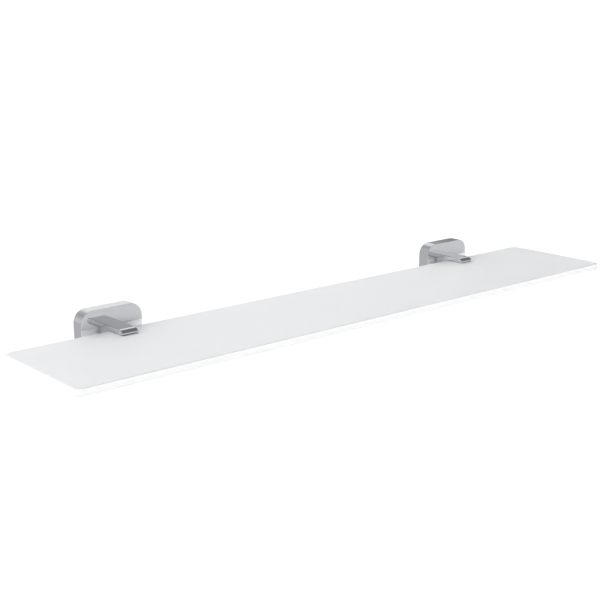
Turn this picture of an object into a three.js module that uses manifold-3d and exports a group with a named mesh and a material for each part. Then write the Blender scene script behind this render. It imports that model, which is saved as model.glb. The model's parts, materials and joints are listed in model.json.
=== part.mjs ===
// A glass wall shelf on two chromed brackets. Millimetres, +Z up.
// The wall is the plane Y = 0, the shelf reaches out along -Y and X runs along the wall.
// The origin is on the wall, midway between the brackets, level with the middle of the glass.
// Each bracket is a plate screwed to the wall, a hollow rosette that hides it, and a forked arm
// whose two jaws grip the back edge of the glass.
// "Out" below is a distance from the wall, so a piece from out a to out b lies at Y = -a to -b.

import * as THREE from "three";
import { mergeVertices } from "three/addons/utils/BufferGeometryUtils.js";
import Module from "manifold-3d";

const wasm = await Module();
wasm.setup();

// The shelf
const GLASS_LENGTH = 600;
const GLASS_DEPTH = 110;
const GLASS_THICKNESS = 6;
const GLASS_CORNER = 7;
const GLASS_ARRIS = 0.5;
const GLASS_OUT = 20;
const BRACKET_SPACING = 400;

// The rosette, a cover open towards the wall
const ROSETTE_WIDTH = 57;
const ROSETTE_HEIGHT = 40;
const ROSETTE_DEPTH = 12;
const ROSETTE_CORNER = 11;
const ROSETTE_EDGE = 0.3;
const ROSETTE_RIM = 2.2;
const ROSETTE_FRONT = 2.5;
const BOSS_WIDTH = 10;
const BOSS_START = 3.5;

// The forked arm
const ARM_WIDTH = 15;
const ARM_END = 39.5;
const ARM_TOP = 7.5;
const ARM_BOTTOM = -9.5;
const NOSE_LENGTH = 6.2;

// The liner between the jaws and the glass
const LINER_THICKNESS = 0.5;
const LINER_SHORT = 1;
const SLIDING_GAP = 0.1;

// The plate on the wall, with a flange along its top and bottom
const PLATE_WIDTH = 46;
const PLATE_HEIGHT = 30;
const PLATE_CORNER = 7;
const PLATE_THICKNESS = 3;
const FLANGE_WIDTH = 16;
const FLANGE_THICKNESS = 2.2;
const FLANGE_DEPTH = 8.5;
const SLOT_SPACING = 30;
const SLOT_LENGTH = 9;
const SLOT_WIDTH = 5.2;

// The screw, washer and dowel that fix the arm to the rosette
const ARM_SCREW_RADIUS = 2.5;
const ARM_SCREW_HEAD_RADIUS = 4.25;
const ARM_SCREW_HEAD_HEIGHT = 3;
const ARM_SCREW_REACH = 5;
const ARM_SCREW_SOCKET = 3;
const ARM_SCREW_HEIGHT = 0.5;
const WASHER_RADIUS = 5;
const WASHER_THICKNESS = 1;
const PIN_RADIUS = 1.25;
const PIN_REACH = 3.5;
const PIN_HEIGHT = -6.7;

// The set screw under the rosette, and the clamp screw and pad in the lower jaw
const SET_SCREW_RADIUS = 2;
const SET_SCREW_SOCKET = 2;
const SET_SCREW_OUT = 6;
const SET_SCREW_RECESS = 0.6;
const CLAMP_OUT = 30;
const CLAMP_SCREW_RADIUS = 2.5;
const CLAMP_SCREW_LENGTH = 4;
const CLAMP_SCREW_SOCKET = 2.5;
const PAD_RADIUS = 2.2;
const PAD_THICKNESS = 2;
const SCREW_CHAMFER = 0.4;
const SOCKET_DEPTH = 2;
const THREAD_GAP = 0.25;

// Worked out from the above
const SLOT_HALF = GLASS_THICKNESS / 2 + SLIDING_GAP + LINER_THICKNESS;
const SLOT_OUT = GLASS_OUT - SLIDING_GAP - LINER_THICKNESS;
const CAVITY_DEPTH = ROSETTE_DEPTH - ROSETTE_FRONT;
const WASHER_OUT = CAVITY_DEPTH - WASHER_THICKNESS;
const FLANGE_HEIGHT = PLATE_HEIGHT / 2;
const PAD_TOP = -GLASS_THICKNESS / 2 - SLIDING_GAP;
const CLAMP_BORE_RADIUS = CLAMP_SCREW_RADIUS + THREAD_GAP;

const MOST_ROUND = 32;
const OVERSHOOT = 1;

// ---------------------------------------------------------------- solids

function toSolid(geometry) {
  const bare = geometry.index ? geometry.toNonIndexed() : geometry.clone();
  bare.deleteAttribute("normal");
  bare.deleteAttribute("uv");
  const merged = mergeVertices(bare);
  return new wasm.Manifold(
    new wasm.Mesh({
      numProp: 3,
      vertProperties: merged.getAttribute("position").array,
      triVerts: new Uint32Array(merged.index.array),
    }),
  );
}

function toGeometry(solid) {
  const mesh = solid.getMesh();
  const geometry = new THREE.BufferGeometry();
  geometry.setAttribute("position", new THREE.BufferAttribute(mesh.vertProperties, 3));
  geometry.setIndex(new THREE.BufferAttribute(mesh.triVerts, 1));
  geometry.computeVertexNormals();
  return geometry;
}

function cut(geometry, ...tools) {
  return toGeometry(tools.reduce((rest, tool) => rest.subtract(toSolid(tool)), toSolid(geometry)));
}

function join(first, ...others) {
  return toGeometry(others.reduce((whole, other) => whole.add(toSolid(other)), toSolid(first)));
}

// ---------------------------------------------------------------- shapes

function roundedRectangle(width, height, radius) {
  const x = width / 2 - radius;
  const y = height / 2 - radius;
  const shape = new THREE.Shape();
  shape.moveTo(x + radius, -y);
  shape.lineTo(x + radius, y);
  shape.absarc(x, y, radius, 0, Math.PI / 2);
  shape.lineTo(-x, y + radius);
  shape.absarc(-x, y, radius, Math.PI / 2, Math.PI);
  shape.lineTo(-x - radius, -y);
  shape.absarc(-x, -y, radius, Math.PI, 1.5 * Math.PI);
  shape.lineTo(x, -y - radius);
  shape.absarc(x, -y, radius, 1.5 * Math.PI, 2 * Math.PI);
  return shape;
}

// An outline drawn as seen from the front, X right and Z up, standing from out a to out b.
function frontPlate(outline, from, to, curveSegments = 8) {
  const plate = new THREE.ExtrudeGeometry(outline, { depth: to - from, bevelEnabled: false, curveSegments });
  return plate.rotateX(Math.PI / 2).translate(0, -from, 0);
}

// An outline drawn from the side, out to the right and Z up, as wide as the arm.
function sidePlate(outline, width, curveSegments = 10) {
  const plate = new THREE.ExtrudeGeometry(outline, { depth: width, bevelEnabled: false, curveSegments });
  const out = new THREE.Vector3(0, -1, 0);
  const up = new THREE.Vector3(0, 0, 1);
  const across = new THREE.Vector3(-1, 0, 0);
  return plate.applyMatrix4(new THREE.Matrix4().makeBasis(out, up, across)).translate(width / 2, 0, 0);
}

function block(width, from, to, bottom, top) {
  const box = new THREE.BoxGeometry(width, to - from, top - bottom);
  return box.translate(0, -(from + to) / 2, (bottom + top) / 2);
}

// Round bars along Y, at a height, and along Z, at a distance out.
function barOut(radius, from, to, height = 0, sides = MOST_ROUND) {
  return new THREE.CylinderGeometry(radius, radius, to - from, sides).translate(0, -(from + to) / 2, height);
}

function barUp(radius, bottom, top, out, sides = MOST_ROUND) {
  const bar = new THREE.CylinderGeometry(radius, radius, top - bottom, sides).rotateX(Math.PI / 2);
  return bar.translate(0, -out, (bottom + top) / 2);
}

const hexRadius = (acrossFlats) => acrossFlats / Math.sqrt(3);

// A headless screw with a hexagon socket in its lower end.
function headlessScrew(radius, bottom, top, out, socket) {
  const profile = [
    new THREE.Vector2(0, bottom),
    new THREE.Vector2(radius - SCREW_CHAMFER, bottom),
    new THREE.Vector2(radius, bottom + SCREW_CHAMFER),
    new THREE.Vector2(radius, top - SCREW_CHAMFER),
    new THREE.Vector2(radius - SCREW_CHAMFER, top),
    new THREE.Vector2(0, top),
  ];
  const body = new THREE.LatheGeometry(profile, MOST_ROUND).rotateX(Math.PI / 2).translate(0, -out, 0);
  return cut(body, barUp(hexRadius(socket), bottom - OVERSHOOT, bottom + SOCKET_DEPTH, out, 6));
}

// ---------------------------------------------------------------- pieces

function glassShelf() {
  const glass = new THREE.ExtrudeGeometry(roundedRectangle(GLASS_LENGTH, GLASS_DEPTH, GLASS_CORNER), {
    depth: GLASS_THICKNESS - 2 * GLASS_ARRIS,
    bevelThickness: GLASS_ARRIS,
    bevelSize: GLASS_ARRIS,
    bevelOffset: -GLASS_ARRIS,
    bevelSegments: 1,
    curveSegments: 8,
  });
  return glass.translate(0, -GLASS_OUT - GLASS_DEPTH / 2, GLASS_ARRIS - GLASS_THICKNESS / 2);
}

function wallPlate() {
  const sheet = frontPlate(roundedRectangle(PLATE_WIDTH, PLATE_HEIGHT, PLATE_CORNER), 0, PLATE_THICKNESS);
  const middle = PLATE_THICKNESS / 2;
  const flanges = [
    block(FLANGE_WIDTH, middle, FLANGE_DEPTH, FLANGE_HEIGHT - FLANGE_THICKNESS, FLANGE_HEIGHT),
    block(FLANGE_WIDTH, middle, FLANGE_DEPTH, -FLANGE_HEIGHT, FLANGE_THICKNESS - FLANGE_HEIGHT),
  ];
  const slots = [-1, 1].map((side) => {
    const outline = roundedRectangle(SLOT_LENGTH, SLOT_WIDTH, SLOT_WIDTH / 2);
    return frontPlate(outline, -OVERSHOOT, PLATE_THICKNESS + OVERSHOOT).translate((side * SLOT_SPACING) / 2, 0, 0);
  });
  return cut(join(sheet, ...flanges), ...slots);
}

// The top boss rests on the plate's top flange. The bottom boss holds the set screw.
function rosetteCover() {
  const outline = roundedRectangle(ROSETTE_WIDTH, ROSETTE_HEIGHT, ROSETTE_CORNER);
  const outer = new THREE.ExtrudeGeometry(outline, {
    depth: ROSETTE_DEPTH,
    bevelThickness: ROSETTE_EDGE,
    bevelSize: ROSETTE_EDGE,
    bevelOffset: -ROSETTE_EDGE,
    bevelSegments: 3,
    curveSegments: 10,
  });
  outer.rotateX(Math.PI / 2).translate(0, ROSETTE_EDGE, 0);
  const behindWall = block(ROSETTE_WIDTH + OVERSHOOT, -3 * ROSETTE_EDGE, 0, -ROSETTE_HEIGHT, ROSETTE_HEIGHT);
  const cavity = frontPlate(
    roundedRectangle(
      ROSETTE_WIDTH - 2 * ROSETTE_RIM,
      ROSETTE_HEIGHT - 2 * ROSETTE_RIM,
      ROSETTE_CORNER - ROSETTE_RIM,
    ),
    -OVERSHOOT,
    CAVITY_DEPTH,
    10,
  );
  const rimMiddle = (ROSETTE_HEIGHT - ROSETTE_RIM) / 2;
  const frontMiddle = ROSETTE_DEPTH - ROSETTE_FRONT / 2;
  const topBoss = block(BOSS_WIDTH, BOSS_START, frontMiddle, FLANGE_HEIGHT, rimMiddle);
  const bottomBoss = block(BOSS_WIDTH, BOSS_START, frontMiddle, -rimMiddle, -FLANGE_HEIGHT - THREAD_GAP);
  return cut(
    join(cut(outer, behindWall, cavity), topBoss, bottomBoss),
    barOut(ARM_SCREW_RADIUS + THREAD_GAP, 0, ROSETTE_DEPTH + OVERSHOOT, ARM_SCREW_HEIGHT),
    barOut(PIN_RADIUS + THREAD_GAP, 0, ROSETTE_DEPTH + OVERSHOOT, PIN_HEIGHT, 20),
    barUp(SET_SCREW_RADIUS + THREAD_GAP, -ROSETTE_HEIGHT, -FLANGE_HEIGHT + OVERSHOOT, SET_SCREW_OUT),
  );
}

// The side view: two jaws with elliptical noses, joined by the neck that meets the rosette.
function forkArm() {
  const noseStart = ARM_END - NOSE_LENGTH;
  const outline = new THREE.Shape();
  outline.moveTo(ROSETTE_DEPTH, ARM_BOTTOM);
  outline.lineTo(noseStart, ARM_BOTTOM);
  outline.absellipse(noseStart, -SLOT_HALF, NOSE_LENGTH, -ARM_BOTTOM - SLOT_HALF, -Math.PI / 2, 0);
  outline.lineTo(SLOT_OUT, -SLOT_HALF);
  outline.lineTo(SLOT_OUT, SLOT_HALF);
  outline.lineTo(ARM_END, SLOT_HALF);
  outline.absellipse(noseStart, SLOT_HALF, NOSE_LENGTH, ARM_TOP - SLOT_HALF, 0, Math.PI / 2);
  outline.lineTo(ROSETTE_DEPTH, ARM_TOP);
  const screwBore = ROSETTE_DEPTH + ARM_SCREW_REACH + THREAD_GAP;
  const pinBore = ROSETTE_DEPTH + PIN_REACH + THREAD_GAP;
  return cut(
    sidePlate(outline, ARM_WIDTH),
    barOut(ARM_SCREW_RADIUS + THREAD_GAP, 0, screwBore, ARM_SCREW_HEIGHT),
    barOut(PIN_RADIUS + THREAD_GAP, 0, pinBore, PIN_HEIGHT, 20),
    barUp(CLAMP_BORE_RADIUS, ARM_BOTTOM - OVERSHOOT, -SLOT_HALF + OVERSHOOT, CLAMP_OUT),
  );
}

// A U that lines the slot, with a hole for the clamp pad.
function jawLiner() {
  const end = ARM_END - LINER_SHORT;
  const inner = SLOT_HALF - LINER_THICKNESS;
  const outline = new THREE.Shape();
  outline.moveTo(SLOT_OUT, -SLOT_HALF);
  outline.lineTo(end, -SLOT_HALF);
  outline.lineTo(end, -inner);
  outline.lineTo(SLOT_OUT + LINER_THICKNESS, -inner);
  outline.lineTo(SLOT_OUT + LINER_THICKNESS, inner);
  outline.lineTo(end, inner);
  outline.lineTo(end, SLOT_HALF);
  outline.lineTo(SLOT_OUT, SLOT_HALF);
  return cut(
    sidePlate(outline, ARM_WIDTH - LINER_SHORT),
    barUp(CLAMP_BORE_RADIUS, ARM_BOTTOM, -inner + OVERSHOOT, CLAMP_OUT),
  );
}

// A cap screw whose head is inside the rosette and whose shank is in the neck of the arm.
function armScrew() {
  const headOut = WASHER_OUT - ARM_SCREW_HEAD_HEIGHT;
  const tipOut = ROSETTE_DEPTH + ARM_SCREW_REACH;
  const profile = [
    new THREE.Vector2(0, -tipOut),
    new THREE.Vector2(ARM_SCREW_RADIUS - SCREW_CHAMFER, -tipOut),
    new THREE.Vector2(ARM_SCREW_RADIUS, SCREW_CHAMFER - tipOut),
    new THREE.Vector2(ARM_SCREW_RADIUS, -WASHER_OUT),
    new THREE.Vector2(ARM_SCREW_HEAD_RADIUS, -WASHER_OUT),
    new THREE.Vector2(ARM_SCREW_HEAD_RADIUS, -headOut - SCREW_CHAMFER),
    new THREE.Vector2(ARM_SCREW_HEAD_RADIUS - SCREW_CHAMFER, -headOut),
    new THREE.Vector2(0, -headOut),
  ];
  const body = new THREE.LatheGeometry(profile, MOST_ROUND).translate(0, 0, ARM_SCREW_HEIGHT);
  const socketEnd = headOut + SOCKET_DEPTH;
  return cut(body, barOut(hexRadius(ARM_SCREW_SOCKET), headOut - OVERSHOOT, socketEnd, ARM_SCREW_HEIGHT, 6));
}

function armWasher() {
  return cut(
    barOut(WASHER_RADIUS, WASHER_OUT, CAVITY_DEPTH, ARM_SCREW_HEIGHT),
    barOut(ARM_SCREW_RADIUS + THREAD_GAP, 0, ROSETTE_DEPTH, ARM_SCREW_HEIGHT),
  );
}

function locatingPin() {
  return barOut(PIN_RADIUS, CAVITY_DEPTH, ROSETTE_DEPTH + PIN_REACH, PIN_HEIGHT, 20);
}

function coverSetScrew() {
  const bottom = SET_SCREW_RECESS - ROSETTE_HEIGHT / 2;
  return headlessScrew(SET_SCREW_RADIUS, bottom, -FLANGE_HEIGHT, SET_SCREW_OUT, SET_SCREW_SOCKET);
}

function clampPad() {
  return barUp(PAD_RADIUS, PAD_TOP - PAD_THICKNESS, PAD_TOP, CLAMP_OUT);
}

function clampScrew() {
  const top = PAD_TOP - PAD_THICKNESS - SLIDING_GAP;
  return headlessScrew(CLAMP_SCREW_RADIUS, top - CLAMP_SCREW_LENGTH, top, CLAMP_OUT, CLAMP_SCREW_SOCKET);
}

// ---------------------------------------------------------------- assembly

const chrome = { color: 0xc4c7cb, roughness: 0.08, metalness: 1 };
const zincPlate = { color: 0xb4b7b8, roughness: 0.38, metalness: 0.9 };
const steel = { color: 0x9da0a3, roughness: 0.3, metalness: 1 };
const nylon = { color: 0xe8e6df, roughness: 0.55, metalness: 0 };
const clearRubber = { color: 0xdfe3e4, roughness: 0.4, metalness: 0, transparent: true, opacity: 0.6 };
const frostedGlass = { color: 0xe9eced, roughness: 0.5, metalness: 0, transparent: true, opacity: 0.75 };

function piece(name, geometry, look) {
  const mesh = new THREE.Mesh(geometry, new THREE.MeshStandardMaterial(look));
  mesh.name = name;
  return mesh;
}

function bracket(side) {
  const group = new THREE.Group();
  group.add(
    piece("wall_plate_" + side, wallPlate(), zincPlate),
    piece("rosette_cover_" + side, rosetteCover(), chrome),
    piece("cover_set_screw_" + side, coverSetScrew(), steel),
    piece("fork_arm_" + side, forkArm(), chrome),
    piece("arm_screw_" + side, armScrew(), steel),
    piece("arm_washer_" + side, armWasher(), zincPlate),
    piece("locating_pin_" + side, locatingPin(), steel),
    piece("jaw_liner_" + side, jawLiner(), clearRubber),
    piece("clamp_pad_" + side, clampPad(), nylon),
    piece("clamp_screw_" + side, clampScrew(), steel),
  );
  group.position.x = ((side === "left" ? -1 : 1) * BRACKET_SPACING) / 2;
  return group;
}

const shelf = new THREE.Group();
shelf.add(piece("glass_shelf", glassShelf(), frostedGlass), bracket("left"), bracket("right"));

export default shelf;
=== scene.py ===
import json
import math

import bmesh
import bpy
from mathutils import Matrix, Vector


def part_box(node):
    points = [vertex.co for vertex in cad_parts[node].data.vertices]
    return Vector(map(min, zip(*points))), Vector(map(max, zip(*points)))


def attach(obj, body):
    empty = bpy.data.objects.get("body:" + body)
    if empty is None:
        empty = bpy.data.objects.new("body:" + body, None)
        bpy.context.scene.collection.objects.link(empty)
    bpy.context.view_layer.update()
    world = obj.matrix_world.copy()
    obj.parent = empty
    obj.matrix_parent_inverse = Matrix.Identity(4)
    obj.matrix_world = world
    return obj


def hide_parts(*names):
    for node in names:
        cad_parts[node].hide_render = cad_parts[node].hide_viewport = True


# A frosted glass shelf held by two chromed brackets. Metres, +Z up, the wall at Y = 0, the shelf reaching
# out along -Y.
# "Out" is a distance from the wall, so a piece at out 0.012 lies at Y = -0.012.

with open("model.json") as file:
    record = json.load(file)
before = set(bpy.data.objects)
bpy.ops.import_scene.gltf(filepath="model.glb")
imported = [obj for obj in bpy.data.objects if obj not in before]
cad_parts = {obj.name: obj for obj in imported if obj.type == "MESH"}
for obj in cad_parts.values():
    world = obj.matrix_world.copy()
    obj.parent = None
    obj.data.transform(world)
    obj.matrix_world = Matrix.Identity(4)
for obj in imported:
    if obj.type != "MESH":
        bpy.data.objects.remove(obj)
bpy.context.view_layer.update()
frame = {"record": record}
RECORD = frame["record"]
BEHAVIOUR = RECORD["behaviour"]
BODY_OF = {node: body for body, nodes in BEHAVIOUR["bodies"].items() for node in nodes}
SIDES = ("left", "right")
MM = 0.001


# ---------------------------------------------------------------- camera

CAMERA_PLACE = (-0.6542, -0.7790, 0.2530)
CAMERA_TURN = 40.48
CAMERA_DIP = 14.51
CAMERA_ROLL = -0.12
CAMERA_LENS = 67.46


def add_camera():
    data = bpy.data.cameras.new("camera")
    data.lens = CAMERA_LENS
    data.sensor_width = 36
    data.clip_start = 0.05
    data.clip_end = 200
    camera = bpy.data.objects.new("camera", data)
    camera.location = CAMERA_PLACE
    camera.rotation_euler = [math.radians(a) for a in (90 - CAMERA_DIP, 0, -CAMERA_TURN)]
    camera.rotation_euler.rotate_axis("Z", math.radians(CAMERA_ROLL))
    bpy.context.scene.collection.objects.link(camera)
    bpy.context.scene.camera = camera


# ---------------------------------------------------------------- mesh tools

ARC_STEPS = 20
COLUMNS = 48


def rounded_rectangle(width, height, radius, steps=ARC_STEPS):
    """The outline's points, anticlockwise, each of them once."""
    points = []
    for side, level, start in ((1, 1, 0), (-1, 1, 90), (-1, -1, 180), (1, -1, 270)):
        for step in range(steps + 1):
            angle = math.radians(start + 90 * step / steps)
            x = side * (width / 2 - radius) + radius * math.cos(angle)
            y = level * (height / 2 - radius) + radius * math.sin(angle)
            points.append((round(x, 9), round(y, 9)))
    return list(dict.fromkeys(points))


def arc(centre, radius, start, end, steps):
    """Points on an arc from start to end, in degrees. radius is a number or an ellipse's two."""
    wide, high = radius if isinstance(radius, tuple) else (radius, radius)
    angles = [math.radians(start + (end - start) * step / steps) for step in range(steps + 1)]
    return [(centre[0] + wide * math.cos(a), centre[1] + high * math.sin(a)) for a in angles]


def solid(name, rings):
    """A closed body through rings of equally many points, with a flat face on each end."""
    shape = bmesh.new()
    layers = [[shape.verts.new(point) for point in ring] for ring in rings]
    count = len(layers[0])
    for lower, upper in zip(layers, layers[1:]):
        for i in range(count):
            j = (i + 1) % count
            shape.faces.new((lower[i], lower[j], upper[j], upper[i]))
    shape.faces.new(layers[0])
    shape.faces.new(layers[-1])
    return body(name, shape)


def body(name, shape):
    """Turns a bmesh into an object, with its faces pointing out."""
    bmesh.ops.recalc_face_normals(shape, faces=shape.faces)
    mesh = bpy.data.meshes.new(name)
    shape.to_mesh(mesh)
    shape.free()
    piece = bpy.data.objects.new(name, mesh)
    bpy.context.scene.collection.objects.link(piece)
    return piece


def combine(piece, operation, *others):
    """Cuts the others out of the piece, or joins them to it, and removes them."""
    for other in others:
        step = piece.modifiers.new("combine", "BOOLEAN")
        step.operation = operation
        step.solver = "EXACT"
        step.object = other
    seen = piece.evaluated_get(bpy.context.evaluated_depsgraph_get())
    mesh = bpy.data.meshes.new_from_object(seen)
    piece.modifiers.clear()
    piece.data = mesh
    for other in others:
        bpy.data.objects.remove(other)
    return piece


def round_edges(piece, radius, sharper_than=50, steps=4, leave=lambda edge: False):
    """Rounds the edges that are sharper than an angle, apart from those that leave names."""
    shape = bmesh.new()
    shape.from_mesh(piece.data)
    limit = math.radians(sharper_than)
    edges = [e for e in shape.edges if e.calc_face_angle(0) > limit and not leave(e)]
    bmesh.ops.bevel(shape, geom=edges, offset=radius, segments=steps, profile=0.5, affect="EDGES")
    bmesh.ops.recalc_face_normals(shape, faces=shape.faces)
    shape.to_mesh(piece.data)
    shape.free()
    return piece


def side_prism(name, outline, low_x, high_x):
    """An outline seen from the side, as (out, up) points, made as wide as low_x to high_x."""
    return solid(name, [[(x, -out, up) for out, up in outline] for x in (low_x, high_x)])


def front_layers(name, x, layers):
    """A body of rounded rectangles seen from the front, each (width, height, radius, out)."""
    rings = []
    for width, height, radius, out in layers:
        rings.append([(x + a, -out, up) for a, up in rounded_rectangle(width, height, radius)])
    return solid(name, rings)


def turned(name, stations, place, columns=COLUMNS):
    """A round body through (radius, height) stations. radius is a number or a function of the angle."""
    rings = []
    for radius, height in stations:
        ring = []
        for column in range(columns):
            angle = 2 * math.pi * column / columns
            reach = radius(angle) if callable(radius) else radius
            ring.append(place(reach * math.cos(angle), reach * math.sin(angle), height))
        rings.append(ring)
    return solid(name, rings)


def up_from(x, out):
    """Places a turned body on an upright axis."""
    return lambda a, b, height: (x + a, b - out, height)


def out_from(x, up):
    """Places a turned body on an axis that runs out from the wall, heights being distances out."""
    return lambda a, b, height: (x + a, -height, up + b)


def hexagon(across_flats):
    """The reach of a hexagon's side at each angle."""
    sector = math.pi / 3
    return lambda angle: across_flats / 2 / math.cos((angle + sector / 2) % sector - sector / 2)


def thread(radius, depth, pitch, low, high, runout):
    """Stations of a screw thread from low to high, which fades in and out over runout at its ends."""
    steps = max(2, round((high - low) / pitch * 8))

    def reach_at(height):
        fade = min(1, (height - low) / runout, (high - height) / runout)

        def reach(angle):
            turn = height / pitch - angle / (2 * math.pi)
            groove = 1 - abs(2 * (turn % 1) - 1)
            return radius - depth * (1 - fade + fade * groove)

        return reach

    heights = [low + (high - low) * step / steps for step in range(steps + 1)]
    return [(reach_at(height), height) for height in heights]


# ---------------------------------------------------------------- materials


def new_material(name):
    material = bpy.data.materials.new(name)
    material.use_nodes = True
    tree = material.node_tree
    return material, tree, tree.nodes["Principled BSDF"]


def node(tree, kind, settings=None, **inputs):
    """Adds a node, sets its properties from settings and its sockets by name."""
    made = tree.nodes.new("ShaderNode" + kind)
    for key, value in (settings or {}).items():
        setattr(made, key, value)
    for key, value in inputs.items():
        socket = made.inputs[key.replace("_", " ")]
        if isinstance(value, bpy.types.NodeSocket):
            tree.links.new(value, socket)
        else:
            socket.default_value = value
    return made


def noise(tree, scale, detail=3.0, roughness=0.5, stretch=(1, 1, 1)):
    """A noise over the object's own coordinates, whose scale is in cells per metre."""
    place = node(tree, "TexCoord").outputs["Object"]
    mapped = node(tree, "Mapping", Vector=place, Scale=stretch).outputs["Vector"]
    made = node(tree, "TexNoise", Vector=mapped, Scale=scale, Detail=detail, Roughness=roughness)
    return made.outputs["Fac"]


def spread(tree, value, low, high, start=0.3, end=0.7):
    """Maps a noise's middle range on to low to high."""
    inputs = {"From Min": start, "From Max": end, "To Min": low, "To Max": high}
    made = node(tree, "MapRange", {"clamp": True}, Value=value)
    for key, number in inputs.items():
        made.inputs[key].default_value = number
    return made.outputs["Result"]


def tint(tree, value, low, high):
    made = node(tree, "Mix", {"data_type": "RGBA"})
    tree.links.new(value, made.inputs["Factor"])
    colours = [socket for socket in made.inputs if socket.type == "RGBA"]
    for socket, colour in zip(colours, (low, high)):
        socket.default_value = (*colour, 1)
    return next(socket for socket in made.outputs if socket.type == "RGBA")


def bump(tree, shader, height, strength, distance):
    made = node(tree, "Bump", Strength=strength, Distance=distance, Height=height)
    tree.links.new(made.outputs["Normal"], shader.inputs["Normal"])


def chrome():
    """Polished plating: a mirror with the faintest unevenness and finger haze."""
    material, tree, shader = new_material("chrome")
    shader.inputs["Metallic"].default_value = 1
    shader.inputs["Base Color"].default_value = (0.71, 0.72, 0.74, 1)
    haze = spread(tree, noise(tree, 90, detail=5), 0.035, 0.085)
    tree.links.new(haze, shader.inputs["Roughness"])
    bump(tree, shader, noise(tree, 350, detail=2), 0.02, 0.2 * MM)
    return material


def turned_steel():
    """Stainless screws, with fine lathe marks."""
    material, tree, shader = new_material("turned_steel")
    shader.inputs["Metallic"].default_value = 1
    marks = noise(tree, 900, detail=4, stretch=(1, 1, 6))
    colour = tint(tree, marks, (0.42, 0.43, 0.44), (0.56, 0.57, 0.58))
    tree.links.new(colour, shader.inputs["Base Color"])
    tree.links.new(spread(tree, marks, 0.22, 0.38), shader.inputs["Roughness"])
    bump(tree, shader, marks, 0.08, 0.05 * MM)
    return material


def zinc_plate():
    """Bright zinc plating on pressed steel: cool grey with a cloudy sheen."""
    material, tree, shader = new_material("zinc_plate")
    shader.inputs["Metallic"].default_value = 1
    clouds = noise(tree, 120, detail=6, roughness=0.6)
    colour = tint(tree, spread(tree, clouds, 0, 1), (0.50, 0.53, 0.56), (0.66, 0.67, 0.64))
    tree.links.new(colour, shader.inputs["Base Color"])
    tree.links.new(spread(tree, clouds, 0.28, 0.46), shader.inputs["Roughness"])
    bump(tree, shader, noise(tree, 1500, detail=3), 0.1, 0.04 * MM)
    return material


def nylon():
    """A natural nylon pad, faintly waxy."""
    material, tree, shader = new_material("nylon")
    shader.inputs["Subsurface Weight"].default_value = 0.2
    shader.inputs["Subsurface Radius"].default_value = (1, 1, 1)
    shader.inputs["Subsurface Scale"].default_value = 1 * MM
    grain = noise(tree, 700, detail=4)
    colour = tint(tree, spread(tree, grain, 0, 1), (0.80, 0.79, 0.74), (0.88, 0.87, 0.83))
    tree.links.new(colour, shader.inputs["Base Color"])
    tree.links.new(spread(tree, grain, 0.42, 0.58), shader.inputs["Roughness"])
    bump(tree, shader, grain, 0.15, 0.05 * MM)
    return material


def clear_rubber():
    """The milky gasket between the jaws and the glass."""
    material, tree, shader = new_material("clear_rubber")
    shader.inputs["Transmission Weight"].default_value = 0.15
    shader.inputs["IOR"].default_value = 1.41
    grain = noise(tree, 600, detail=3)
    colour = tint(tree, spread(tree, grain, 0, 1), (0.52, 0.54, 0.54), (0.60, 0.62, 0.61))
    tree.links.new(colour, shader.inputs["Base Color"])
    tree.links.new(spread(tree, grain, 0.38, 0.5), shader.inputs["Roughness"])
    bump(tree, shader, grain, 0.1, 0.04 * MM)
    return material


# How far light scatters. From the faces it is short, or the back light whitens the glass's rear rim.
FACE_REACH = 2 * MM
EDGE_REACH = 30 * MM


def satin_glass(name, colours, transmission, roughness, grain, strength, reach):
    """Glass that scatters light as far as reach. colours and roughness are each a low and a high."""
    material, tree, shader = new_material(name)
    shader.inputs["IOR"].default_value = 1.5
    shader.inputs["Transmission Weight"].default_value = transmission
    shader.inputs["Subsurface Weight"].default_value = 1
    shader.inputs["Subsurface Radius"].default_value = (1, 1, 1)
    shader.inputs["Subsurface Scale"].default_value = reach
    clouds = noise(tree, 25, detail=4)
    colour = tint(tree, spread(tree, clouds, 0, 1), *colours)
    tree.links.new(colour, shader.inputs["Base Color"])
    tree.links.new(spread(tree, clouds, *roughness), shader.inputs["Roughness"])
    bump(tree, shader, noise(tree, grain, detail=2), strength, 0.03 * MM)
    return material


CHROME = chrome()
STEEL = turned_steel()
ZINC = zinc_plate()
NYLON = nylon()
RUBBER = clear_rubber()
ETCHED_TINT = ((0.680, 0.690, 0.700), (0.704, 0.714, 0.724))
GROUND_TINT = ((0.96, 0.965, 0.965), (0.98, 0.985, 0.985))
ETCHED = satin_glass("etched_glass", ETCHED_TINT, 0.2, (0.4, 0.48), 3500, 0.12, FACE_REACH)
GROUND = satin_glass("ground_glass", GROUND_TINT, 0.1, (0.3, 0.4), 900, 0.08, EDGE_REACH)


def settle(piece, node_name, material, smooth_below=35):
    """Gives a piece its material and shading, and puts it in the place of its CAD node."""
    if not piece.data.materials:
        piece.data.materials.append(material)
    piece.data.shade_smooth()
    piece.data.set_sharp_from_angle(angle=math.radians(smooth_below))
    shading = piece.modifiers.new("shading", "WEIGHTED_NORMAL")
    shading.keep_sharp = True
    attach(piece, BODY_OF[node_name])
    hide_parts(node_name)
    return piece


# ---------------------------------------------------------------- the glass

GLASS_CORNER = 7 * MM
ARRIS = 0.5 * MM


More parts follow.
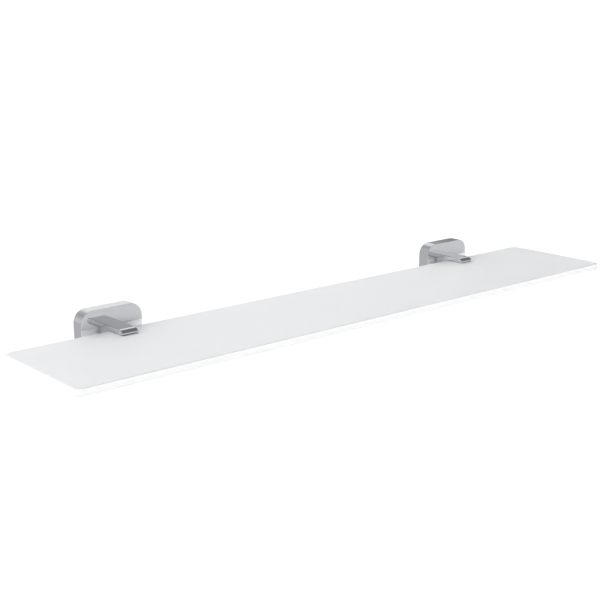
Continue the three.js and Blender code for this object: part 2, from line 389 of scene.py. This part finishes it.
def glass_panel():
    """A plate with rounded corners and a small arris round each face."""
    low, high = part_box("glass_shelf")
    centre = (low + high) / 2
    width, depth = high.x - low.x, high.y - low.y
    rings = []
    for inset, height in ((ARRIS, low.z), (0, low.z + ARRIS), (0, high.z - ARRIS), (ARRIS, high.z)):
        outline = rounded_rectangle(width - 2 * inset, depth - 2 * inset, GLASS_CORNER - inset)
        rings.append([(centre.x + a, centre.y + b, height) for a, b in outline])
    panel = solid("glass_panel", rings)
    panel.data.materials.append(ETCHED)
    panel.data.materials.append(GROUND)
    for face in panel.data.polygons:
        face.material_index = 0 if abs(face.normal.z) > 0.5 else 1
    settle(panel, "glass_shelf", ETCHED)


# ---------------------------------------------------------------- the rosette

ROSETTE_CORNER = 11 * MM
ROSETTE_EDGE = 0.2 * MM
ROSETTE_RIM = 2.2 * MM
ROSETTE_FRONT = 2.5 * MM
RIM_EDGE = 0.25 * MM
CAVITY_FILLET = 1.2 * MM
BOSS_WIDTH = 10 * MM
BOSS_START = 3.5 * MM
BOSS_EDGE = 0.4 * MM
BORE_GAP = 0.25 * MM
COUNTERSINK = 0.4 * MM


def bore(name, radius, low, high, place):
    return turned(name, [(radius, low), (radius, high)], place)


def sunk_bore(name, radius, mouth, high, place):
    """A bore whose mouth, at the lower height, has a small countersink."""
    start = mouth - COUNTERSINK
    wide = radius + 2 * COUNTERSINK
    return turned(name, [(wide, start), (radius, mouth + COUNTERSINK), (radius, high)], place)


def box_between(name, low, high, radius):
    """A block with rounded edges."""
    corners = [(low[0], low[1]), (high[0], low[1]), (high[0], high[1]), (low[0], high[1])]
    block = solid(name, [[(a, b, height) for a, b in corners] for height in (low[2], high[2])])
    return round_edges(block, radius, steps=3)


def rosette_cover(side):
    low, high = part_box("rosette_cover_" + side)
    flange_low, flange_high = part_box("wall_plate_" + side)
    x = (low.x + high.x) / 2
    width, depth, height = high.x - low.x, -low.y, high.z - low.z
    cavity = depth - ROSETTE_FRONT
    profile = [
        *arc((ROSETTE_RIM + CAVITY_FILLET, cavity - CAVITY_FILLET), CAVITY_FILLET, 90, 180, 6),
        *arc((ROSETTE_RIM - RIM_EDGE, RIM_EDGE), RIM_EDGE, 0, -90, 3),
        *arc((RIM_EDGE, RIM_EDGE), RIM_EDGE, -90, -180, 3),
        *arc((ROSETTE_EDGE, depth - ROSETTE_EDGE), ROSETTE_EDGE, 180, 90, 8),
    ]
    layers = []
    for inset, out in profile:
        layers.append((width - 2 * inset, height - 2 * inset, ROSETTE_CORNER - inset, out))
    cover = front_layers(side + "_rosette_cover", x, layers)
    half = BOSS_WIDTH / 2
    inner, reach = -depth + ROSETTE_FRONT / 2, high.z - ROSETTE_RIM / 2
    top_boss = ((x - half, inner, flange_high.z), (x + half, -BOSS_START, reach))
    low_boss = ((x - half, inner, -reach), (x + half, -BOSS_START, flange_low.z - BORE_GAP))
    combine(cover, "UNION", *[box_between("boss", *ends, BOSS_EDGE) for ends in (top_boss, low_boss)])
    screw_low, screw_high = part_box("cover_set_screw_" + side)
    arm_screw_low, arm_screw_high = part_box("arm_screw_" + side)
    pin_low, pin_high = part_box("locating_pin_" + side)
    set_radius = (screw_high.x - screw_low.x) / 2 + BORE_GAP
    set_out = -(screw_low.y + screw_high.y) / 2
    pin_radius = (pin_high.x - pin_low.x) / 2 + BORE_GAP
    arm_screw_up = (arm_screw_low.z + arm_screw_high.z) / 2
    pin_up = (pin_low.z + pin_high.z) / 2
    past = depth + MM
    combine(
        cover,
        "DIFFERENCE",
        sunk_bore("bore", set_radius, low.z, flange_low.z + MM, up_from(x, set_out)),
        bore("bore", SHANK_RADIUS + BORE_GAP, MM, past, out_from(x, arm_screw_up)),
        bore("bore", pin_radius, MM, past, out_from(x, pin_up)),
    )
    settle(cover, "rosette_cover_" + side, CHROME)


# ---------------------------------------------------------------- the forked arm

NOSE_LENGTH = 6.2 * MM
NOSE_STEPS = 28
MOUTH_EDGE = 0.5 * MM
ARM_EDGE = 0.45 * MM
SHANK_RADIUS = 2.5 * MM


def fork_arm(side):
    low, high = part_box("fork_arm_" + side)
    liner_low, liner_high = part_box("jaw_liner_" + side)
    x = (low.x + high.x) / 2
    root, end = -high.y, -low.y
    slot_out = -liner_high.y
    nose, mouth = end - NOSE_LENGTH, end - MOUTH_EDGE
    below, above = liner_low.z - MOUTH_EDGE, liner_high.z + MOUTH_EDGE
    outline = [
        (root, low.z),
        *arc((nose, below), (NOSE_LENGTH, below - low.z), -90, 0, NOSE_STEPS),
        *arc((mouth, below), MOUTH_EDGE, 0, 90, 4)[1:],
        (slot_out, liner_low.z),
        (slot_out, liner_high.z),
        *arc((mouth, above), MOUTH_EDGE, -90, 0, 4),
        *arc((nose, above), (NOSE_LENGTH, high.z - above), 0, 90, NOSE_STEPS)[1:],
        (root, high.z),
    ]
    arm = side_prism(side + "_fork_arm", outline, low.x, high.x)
    across = lambda edge: abs(edge.verts[0].co.x - edge.verts[1].co.x) > MM
    at_root = lambda edge: all(abs(v.co.y - high.y) < 1e-5 for v in edge.verts)
    round_edges(arm, ARM_EDGE, leave=lambda edge: across(edge) or at_root(edge))
    screw_low, screw_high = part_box("arm_screw_" + side)
    pin_low, pin_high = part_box("locating_pin_" + side)
    clamp_low, clamp_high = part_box("clamp_screw_" + side)
    clamp_radius = (clamp_high.x - clamp_low.x) / 2 + BORE_GAP
    clamp_out = -(clamp_low.y + clamp_high.y) / 2
    pin_radius = (pin_high.x - pin_low.x) / 2 + BORE_GAP
    screw_up, pin_up = (screw_low.z + screw_high.z) / 2, (pin_low.z + pin_high.z) / 2
    combine(
        arm,
        "DIFFERENCE",
        sunk_bore("bore", clamp_radius, low.z, liner_low.z + MM, up_from(x, clamp_out)),
        bore("bore", SHANK_RADIUS + BORE_GAP, root - MM, BORE_GAP - screw_low.y, out_from(x, screw_up)),
        bore("bore", pin_radius, root - MM, BORE_GAP - pin_low.y, out_from(x, pin_up)),
    )
    settle(arm, "fork_arm_" + side, CHROME)


LINER_THICKNESS = 0.5 * MM
LINER_EDGE = 0.12 * MM


def jaw_liner(side):
    """A soft U between the jaws and the glass, with a hole for the clamp pad."""
    low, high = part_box("jaw_liner_" + side)
    clamp_low, clamp_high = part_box("clamp_screw_" + side)
    root, end = -high.y, -low.y
    inside, floor = root + LINER_THICKNESS, high.z - LINER_THICKNESS
    outline = [
        (root, low.z),
        (end, low.z),
        (end, -floor),
        (inside, -floor),
        (inside, floor),
        (end, floor),
        (end, high.z),
        (root, high.z),
    ]
    liner = side_prism(side + "_jaw_liner", outline, low.x, high.x)
    round_edges(liner, LINER_EDGE, steps=2)
    x = (low.x + high.x) / 2
    radius = (clamp_high.x - clamp_low.x) / 2 + BORE_GAP
    out = -(clamp_low.y + clamp_high.y) / 2
    combine(liner, "DIFFERENCE", bore("bore", radius, low.z - MM, MM - floor, up_from(x, out)))
    settle(liner, "jaw_liner_" + side, RUBBER)


# ---------------------------------------------------------------- the wall plate

PLATE_CORNER = 7 * MM
PLATE_THICKNESS = 3 * MM
PLATE_EDGE = 0.4 * MM
FLANGE_WIDTH = 16 * MM
FLANGE_THICKNESS = 2.2 * MM
FLANGE_BEND = 1.5 * MM
SLOT_SPACING = 30 * MM
SLOT_LENGTH = 9 * MM
SLOT_WIDTH = 5.2 * MM


def wall_plate(side):
    low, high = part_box("wall_plate_" + side)
    x = (low.x + high.x) / 2
    width, height, depth = high.x - low.x, high.z - low.z, -low.y
    back = arc((PLATE_EDGE, PLATE_EDGE), PLATE_EDGE, 270, 180, 4)
    front = arc((PLATE_EDGE, PLATE_THICKNESS - PLATE_EDGE), PLATE_EDGE, 180, 90, 4)
    layers = [(width - 2 * i, height - 2 * i, PLATE_CORNER - i, out) for i, out in (*back, *front)]
    plate = front_layers(side + "_wall_plate", x, layers)
    flanges = []
    inner = high.z - FLANGE_THICKNESS
    for sign in (1, -1):
        bend = arc((PLATE_THICKNESS + FLANGE_BEND, inner - FLANGE_BEND), FLANGE_BEND, 90, 180, 6)
        outline = [
            (PLATE_THICKNESS / 2, high.z),
            *arc((depth - PLATE_EDGE, high.z - PLATE_EDGE), PLATE_EDGE, 90, 0, 4),
            *arc((depth - PLATE_EDGE, inner + PLATE_EDGE), PLATE_EDGE, 0, -90, 4),
            *bend,
            (PLATE_THICKNESS / 2, inner - FLANGE_BEND),
        ]
        outline = [(out, sign * up) for out, up in outline]
        flanges.append(side_prism("flange", outline, x - FLANGE_WIDTH / 2, x + FLANGE_WIDTH / 2))
    combine(plate, "UNION", *flanges)
    slots = []
    for sign in (-1, 1):
        outs = (-MM, PLATE_THICKNESS + MM)
        layers = [(SLOT_LENGTH, SLOT_WIDTH, SLOT_WIDTH / 2, out) for out in outs]
        slots.append(front_layers("slot", x + sign * SLOT_SPACING / 2, layers))
    combine(plate, "DIFFERENCE", *slots)
    settle(plate, "wall_plate_" + side, ZINC)


# ---------------------------------------------------------------- fasteners

SCREW_CHAMFER = 0.4 * MM
SOCKET_DEPTH = 2 * MM
THREAD_DEPTH = 0.4 * MM
CLAMP_SOCKET = 2.5 * MM
SET_SOCKET = 2 * MM
ARM_SOCKET = 3 * MM
SET_PITCH = 0.7 * MM
ARM_PITCH = 0.8 * MM
CLAMP_PITCH = 2 * math.pi / BEHAVIOUR["couplings"][0]["ratio"]
HEAD_EDGE = 0.4 * MM
WASHER_EDGE = 0.15 * MM
PIN_EDGE = 0.35 * MM
PAD_EDGE = 0.25 * MM
THREAD_END = 0.1 * MM
SHANK_PLAIN = 0.5 * MM


def socket_stations(across_flats, mouth, deep):
    """A hexagon socket, from its drilled bottom to its mouth."""
    return [
        (across_flats * 0.2, deep + 0.3 * (deep - mouth)),
        (across_flats * 0.48, deep),
        (hexagon(across_flats), deep),
        (hexagon(across_flats), mouth),
    ]


def headless_screw(name, node_name, socket, pitch):
    """A threaded screw with a hexagon socket in its lower end and a flat upper end."""
    low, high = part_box(node_name)
    radius = (high.x - low.x) / 2
    thin = radius - THREAD_DEPTH
    stations = [
        *socket_stations(socket, low.z, low.z + SOCKET_DEPTH),
        (thin, low.z),
        *thread(radius, THREAD_DEPTH, pitch, low.z + THREAD_END, high.z - THREAD_END, SCREW_CHAMFER),
        (thin, high.z),
    ]
    place = up_from((low.x + high.x) / 2, -(low.y + high.y) / 2)
    settle(turned(name, stations, place), node_name, STEEL)


def arm_screw(side):
    """A cap screw whose socket faces the wall, through the rosette into the neck of the arm."""
    node_name = "arm_screw_" + side
    low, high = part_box(node_name)
    _, washer_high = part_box("arm_washer_" + side)
    head, seat, tip = -high.y, -washer_high.y, -low.y
    radius = (high.x - low.x) / 2
    start, end = seat + SHANK_PLAIN, tip - THREAD_END
    stations = [
        *socket_stations(ARM_SOCKET, head, head + SOCKET_DEPTH),
        *arc((radius - HEAD_EDGE, head + HEAD_EDGE), HEAD_EDGE, -90, 0, 4),
        (radius, seat),
        (SHANK_RADIUS, seat),
        *thread(SHANK_RADIUS, THREAD_DEPTH, ARM_PITCH, start, end, SCREW_CHAMFER),
        (SHANK_RADIUS - THREAD_DEPTH, tip),
    ]
    place = out_from((low.x + high.x) / 2, (low.z + high.z) / 2)
    settle(turned(side + "_arm_screw", stations, place), node_name, STEEL)


def arm_washer(side):
    node_name = "arm_washer_" + side
    low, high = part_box(node_name)
    start, end = -high.y, -low.y
    radius, edge = (high.x - low.x) / 2, WASHER_EDGE
    stations = [
        *arc((radius - edge, start + edge), edge, -90, 0, 3),
        *arc((radius - edge, end - edge), edge, 0, 90, 3),
    ]
    x, up = (low.x + high.x) / 2, (low.z + high.z) / 2
    washer = turned(side + "_arm_washer", stations, out_from(x, up))
    hole = bore("hole", SHANK_RADIUS + BORE_GAP, start - MM, end + MM, out_from(x, up))
    settle(combine(washer, "DIFFERENCE", hole), node_name, ZINC)


def locating_pin(side):
    node_name = "locating_pin_" + side
    low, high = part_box(node_name)
    start, end = -high.y, -low.y
    radius, edge = (high.x - low.x) / 2, PIN_EDGE
    stations = [
        *arc((radius - edge, start + edge), edge, -90, 0, 4),
        *arc((radius - edge, end - edge), edge, 0, 90, 4),
    ]
    place = out_from((low.x + high.x) / 2, (low.z + high.z) / 2)
    settle(turned(side + "_locating_pin", stations, place), node_name, STEEL)


def clamp_pad(side):
    node_name = "clamp_pad_" + side
    low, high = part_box(node_name)
    radius, edge = (high.x - low.x) / 2, PAD_EDGE
    stations = [
        *arc((radius - edge, low.z + edge), edge, -90, 0, 4),
        *arc((radius - edge, high.z - edge), edge, 0, 90, 4),
    ]
    place = up_from((low.x + high.x) / 2, -(low.y + high.y) / 2)
    settle(turned(side + "_clamp_pad", stations, place), node_name, NYLON)


# ---------------------------------------------------------------- floor, light and surroundings

# The floor is flat as far as FLOOR_HALF, and its rim slopes up past the horizon to BACKDROP_TOP. It stays
# within 30 m, because a camera that circles the object sees no further.
FLOOR_BELOW = 1.4
FLOOR_HALF = 4
BACKDROP_HALF = 20
BACKDROP_TOP = 1
FLOOR_GREY = (0.8, 0.8, 0.8)
ROOM_LEVEL = 0.57
# Each soft light or dark screen of the room: azimuth from +Y towards +X, elevation, the angles from its
# middle at which it starts to fade and has faded, and its brightness beside paper white.
SCREENS = (
    (38, 26, 16, 33, 0.94),
    (126, -8, 12, 36, 0.88),
    (-17, 29, 3, 11, 0.45),
    (-30, 6, 4, 12, 0.72),
    (-17, 47, 3, 12, 0.45),
    (57.2, 8, 7, 15, 0.2),
    (102, 50, 32, 44, 0.2),
    (-163, 38, 12, 22, 0.25),
)
# Each lamp: its name, the azimuth and elevation it shines from, its strength and its softness in degrees.
LAMPS = (
    ("overhead_light", 180, 88, 1.35, 40),
    ("back_light", -25, 20, 4.2, 90),
)


def direction(azimuth, elevation):
    turn, rise = math.radians(azimuth), math.radians(elevation)
    return (math.sin(turn) * math.cos(rise), math.cos(turn) * math.cos(rise), math.sin(rise))


def add_surroundings():
    world = bpy.data.worlds.new("studio")
    world.use_nodes = True
    bpy.context.scene.world = world
    tree = world.node_tree
    view = node(tree, "TexCoord").outputs["Generated"]
    level = None
    for azimuth, elevation, inner, outer, bright in SCREENS:
        along = node(tree, "VectorMath", {"operation": "DOT_PRODUCT"})
        tree.links.new(view, along.inputs[0])
        along.inputs[1].default_value = direction(azimuth, elevation)
        inputs = {
            "From Min": math.cos(math.radians(outer)),
            "From Max": math.cos(math.radians(inner)),
            "To Min": 0,
            "To Max": 1,
        }
        mask = node(tree, "MapRange", {"interpolation_type": "SMOOTHSTEP"})
        tree.links.new(along.outputs["Value"], mask.inputs["Value"])
        for key, number in inputs.items():
            mask.inputs[key].default_value = number
        mix = node(tree, "Mix", {"data_type": "FLOAT"})
        tree.links.new(mask.outputs["Result"], mix.inputs[0])
        if level is None:
            mix.inputs[2].default_value = ROOM_LEVEL
        else:
            tree.links.new(level, mix.inputs[2])
        mix.inputs[3].default_value = bright
        level = mix.outputs[0]
    shade = tree.nodes["Background"]
    tree.links.new(level, shade.inputs["Color"])


def add_lamps():
    """Wide lamps that light the object without showing in the chrome."""
    for name, azimuth, elevation, strength, softness in LAMPS:
        data = bpy.data.lights.new(name, "SUN")
        data.energy = strength
        data.angle = math.radians(softness)
        lamp = bpy.data.objects.new(name, data)
        lamp.rotation_euler = (math.radians(90 - elevation), 0, math.radians(180 - azimuth))
        lamp.visible_glossy = False
        bpy.context.scene.collection.objects.link(lamp)


def add_floor():
    """A pale floor whose rim slopes up past the horizon on every side."""
    corners = [(-1, -1), (1, -1), (1, 1), (-1, 1)]
    points = [(a * FLOOR_HALF, b * FLOOR_HALF, -FLOOR_BELOW) for a, b in corners]
    points += [(a * BACKDROP_HALF, b * BACKDROP_HALF, BACKDROP_TOP) for a, b in corners]
    rim = [(i, (i + 1) % 4, (i + 1) % 4 + 4, i + 4) for i in range(4)]
    mesh = bpy.data.meshes.new("floor")
    mesh.from_pydata(points, [], [(0, 1, 2, 3), *rim])
    floor = bpy.data.objects.new("floor", mesh)
    bpy.context.scene.collection.objects.link(floor)
    material, _, shader = new_material("pale_floor")
    shader.inputs["Base Color"].default_value = (*FLOOR_GREY, 1)
    shader.inputs["Roughness"].default_value = 0.9
    shader.inputs["Specular IOR Level"].default_value = 0.1
    mesh.materials.append(material)
    floor.visible_glossy = False


# ---------------------------------------------------------------- the whole

add_camera()
glass_panel()
for side in SIDES:
    wall_plate(side)
    rosette_cover(side)
    fork_arm(side)
    jaw_liner(side)
    arm_screw(side)
    arm_washer(side)
    locating_pin(side)
    clamp_pad(side)
    headless_screw(side + "_cover_set_screw", "cover_set_screw_" + side, SET_SOCKET, SET_PITCH)
    headless_screw(side + "_clamp_screw", "clamp_screw_" + side, CLAMP_SOCKET, CLAMP_PITCH)
add_surroundings()
add_lamps()
add_floor()
bpy.context.scene.view_settings.view_transform = "Standard"
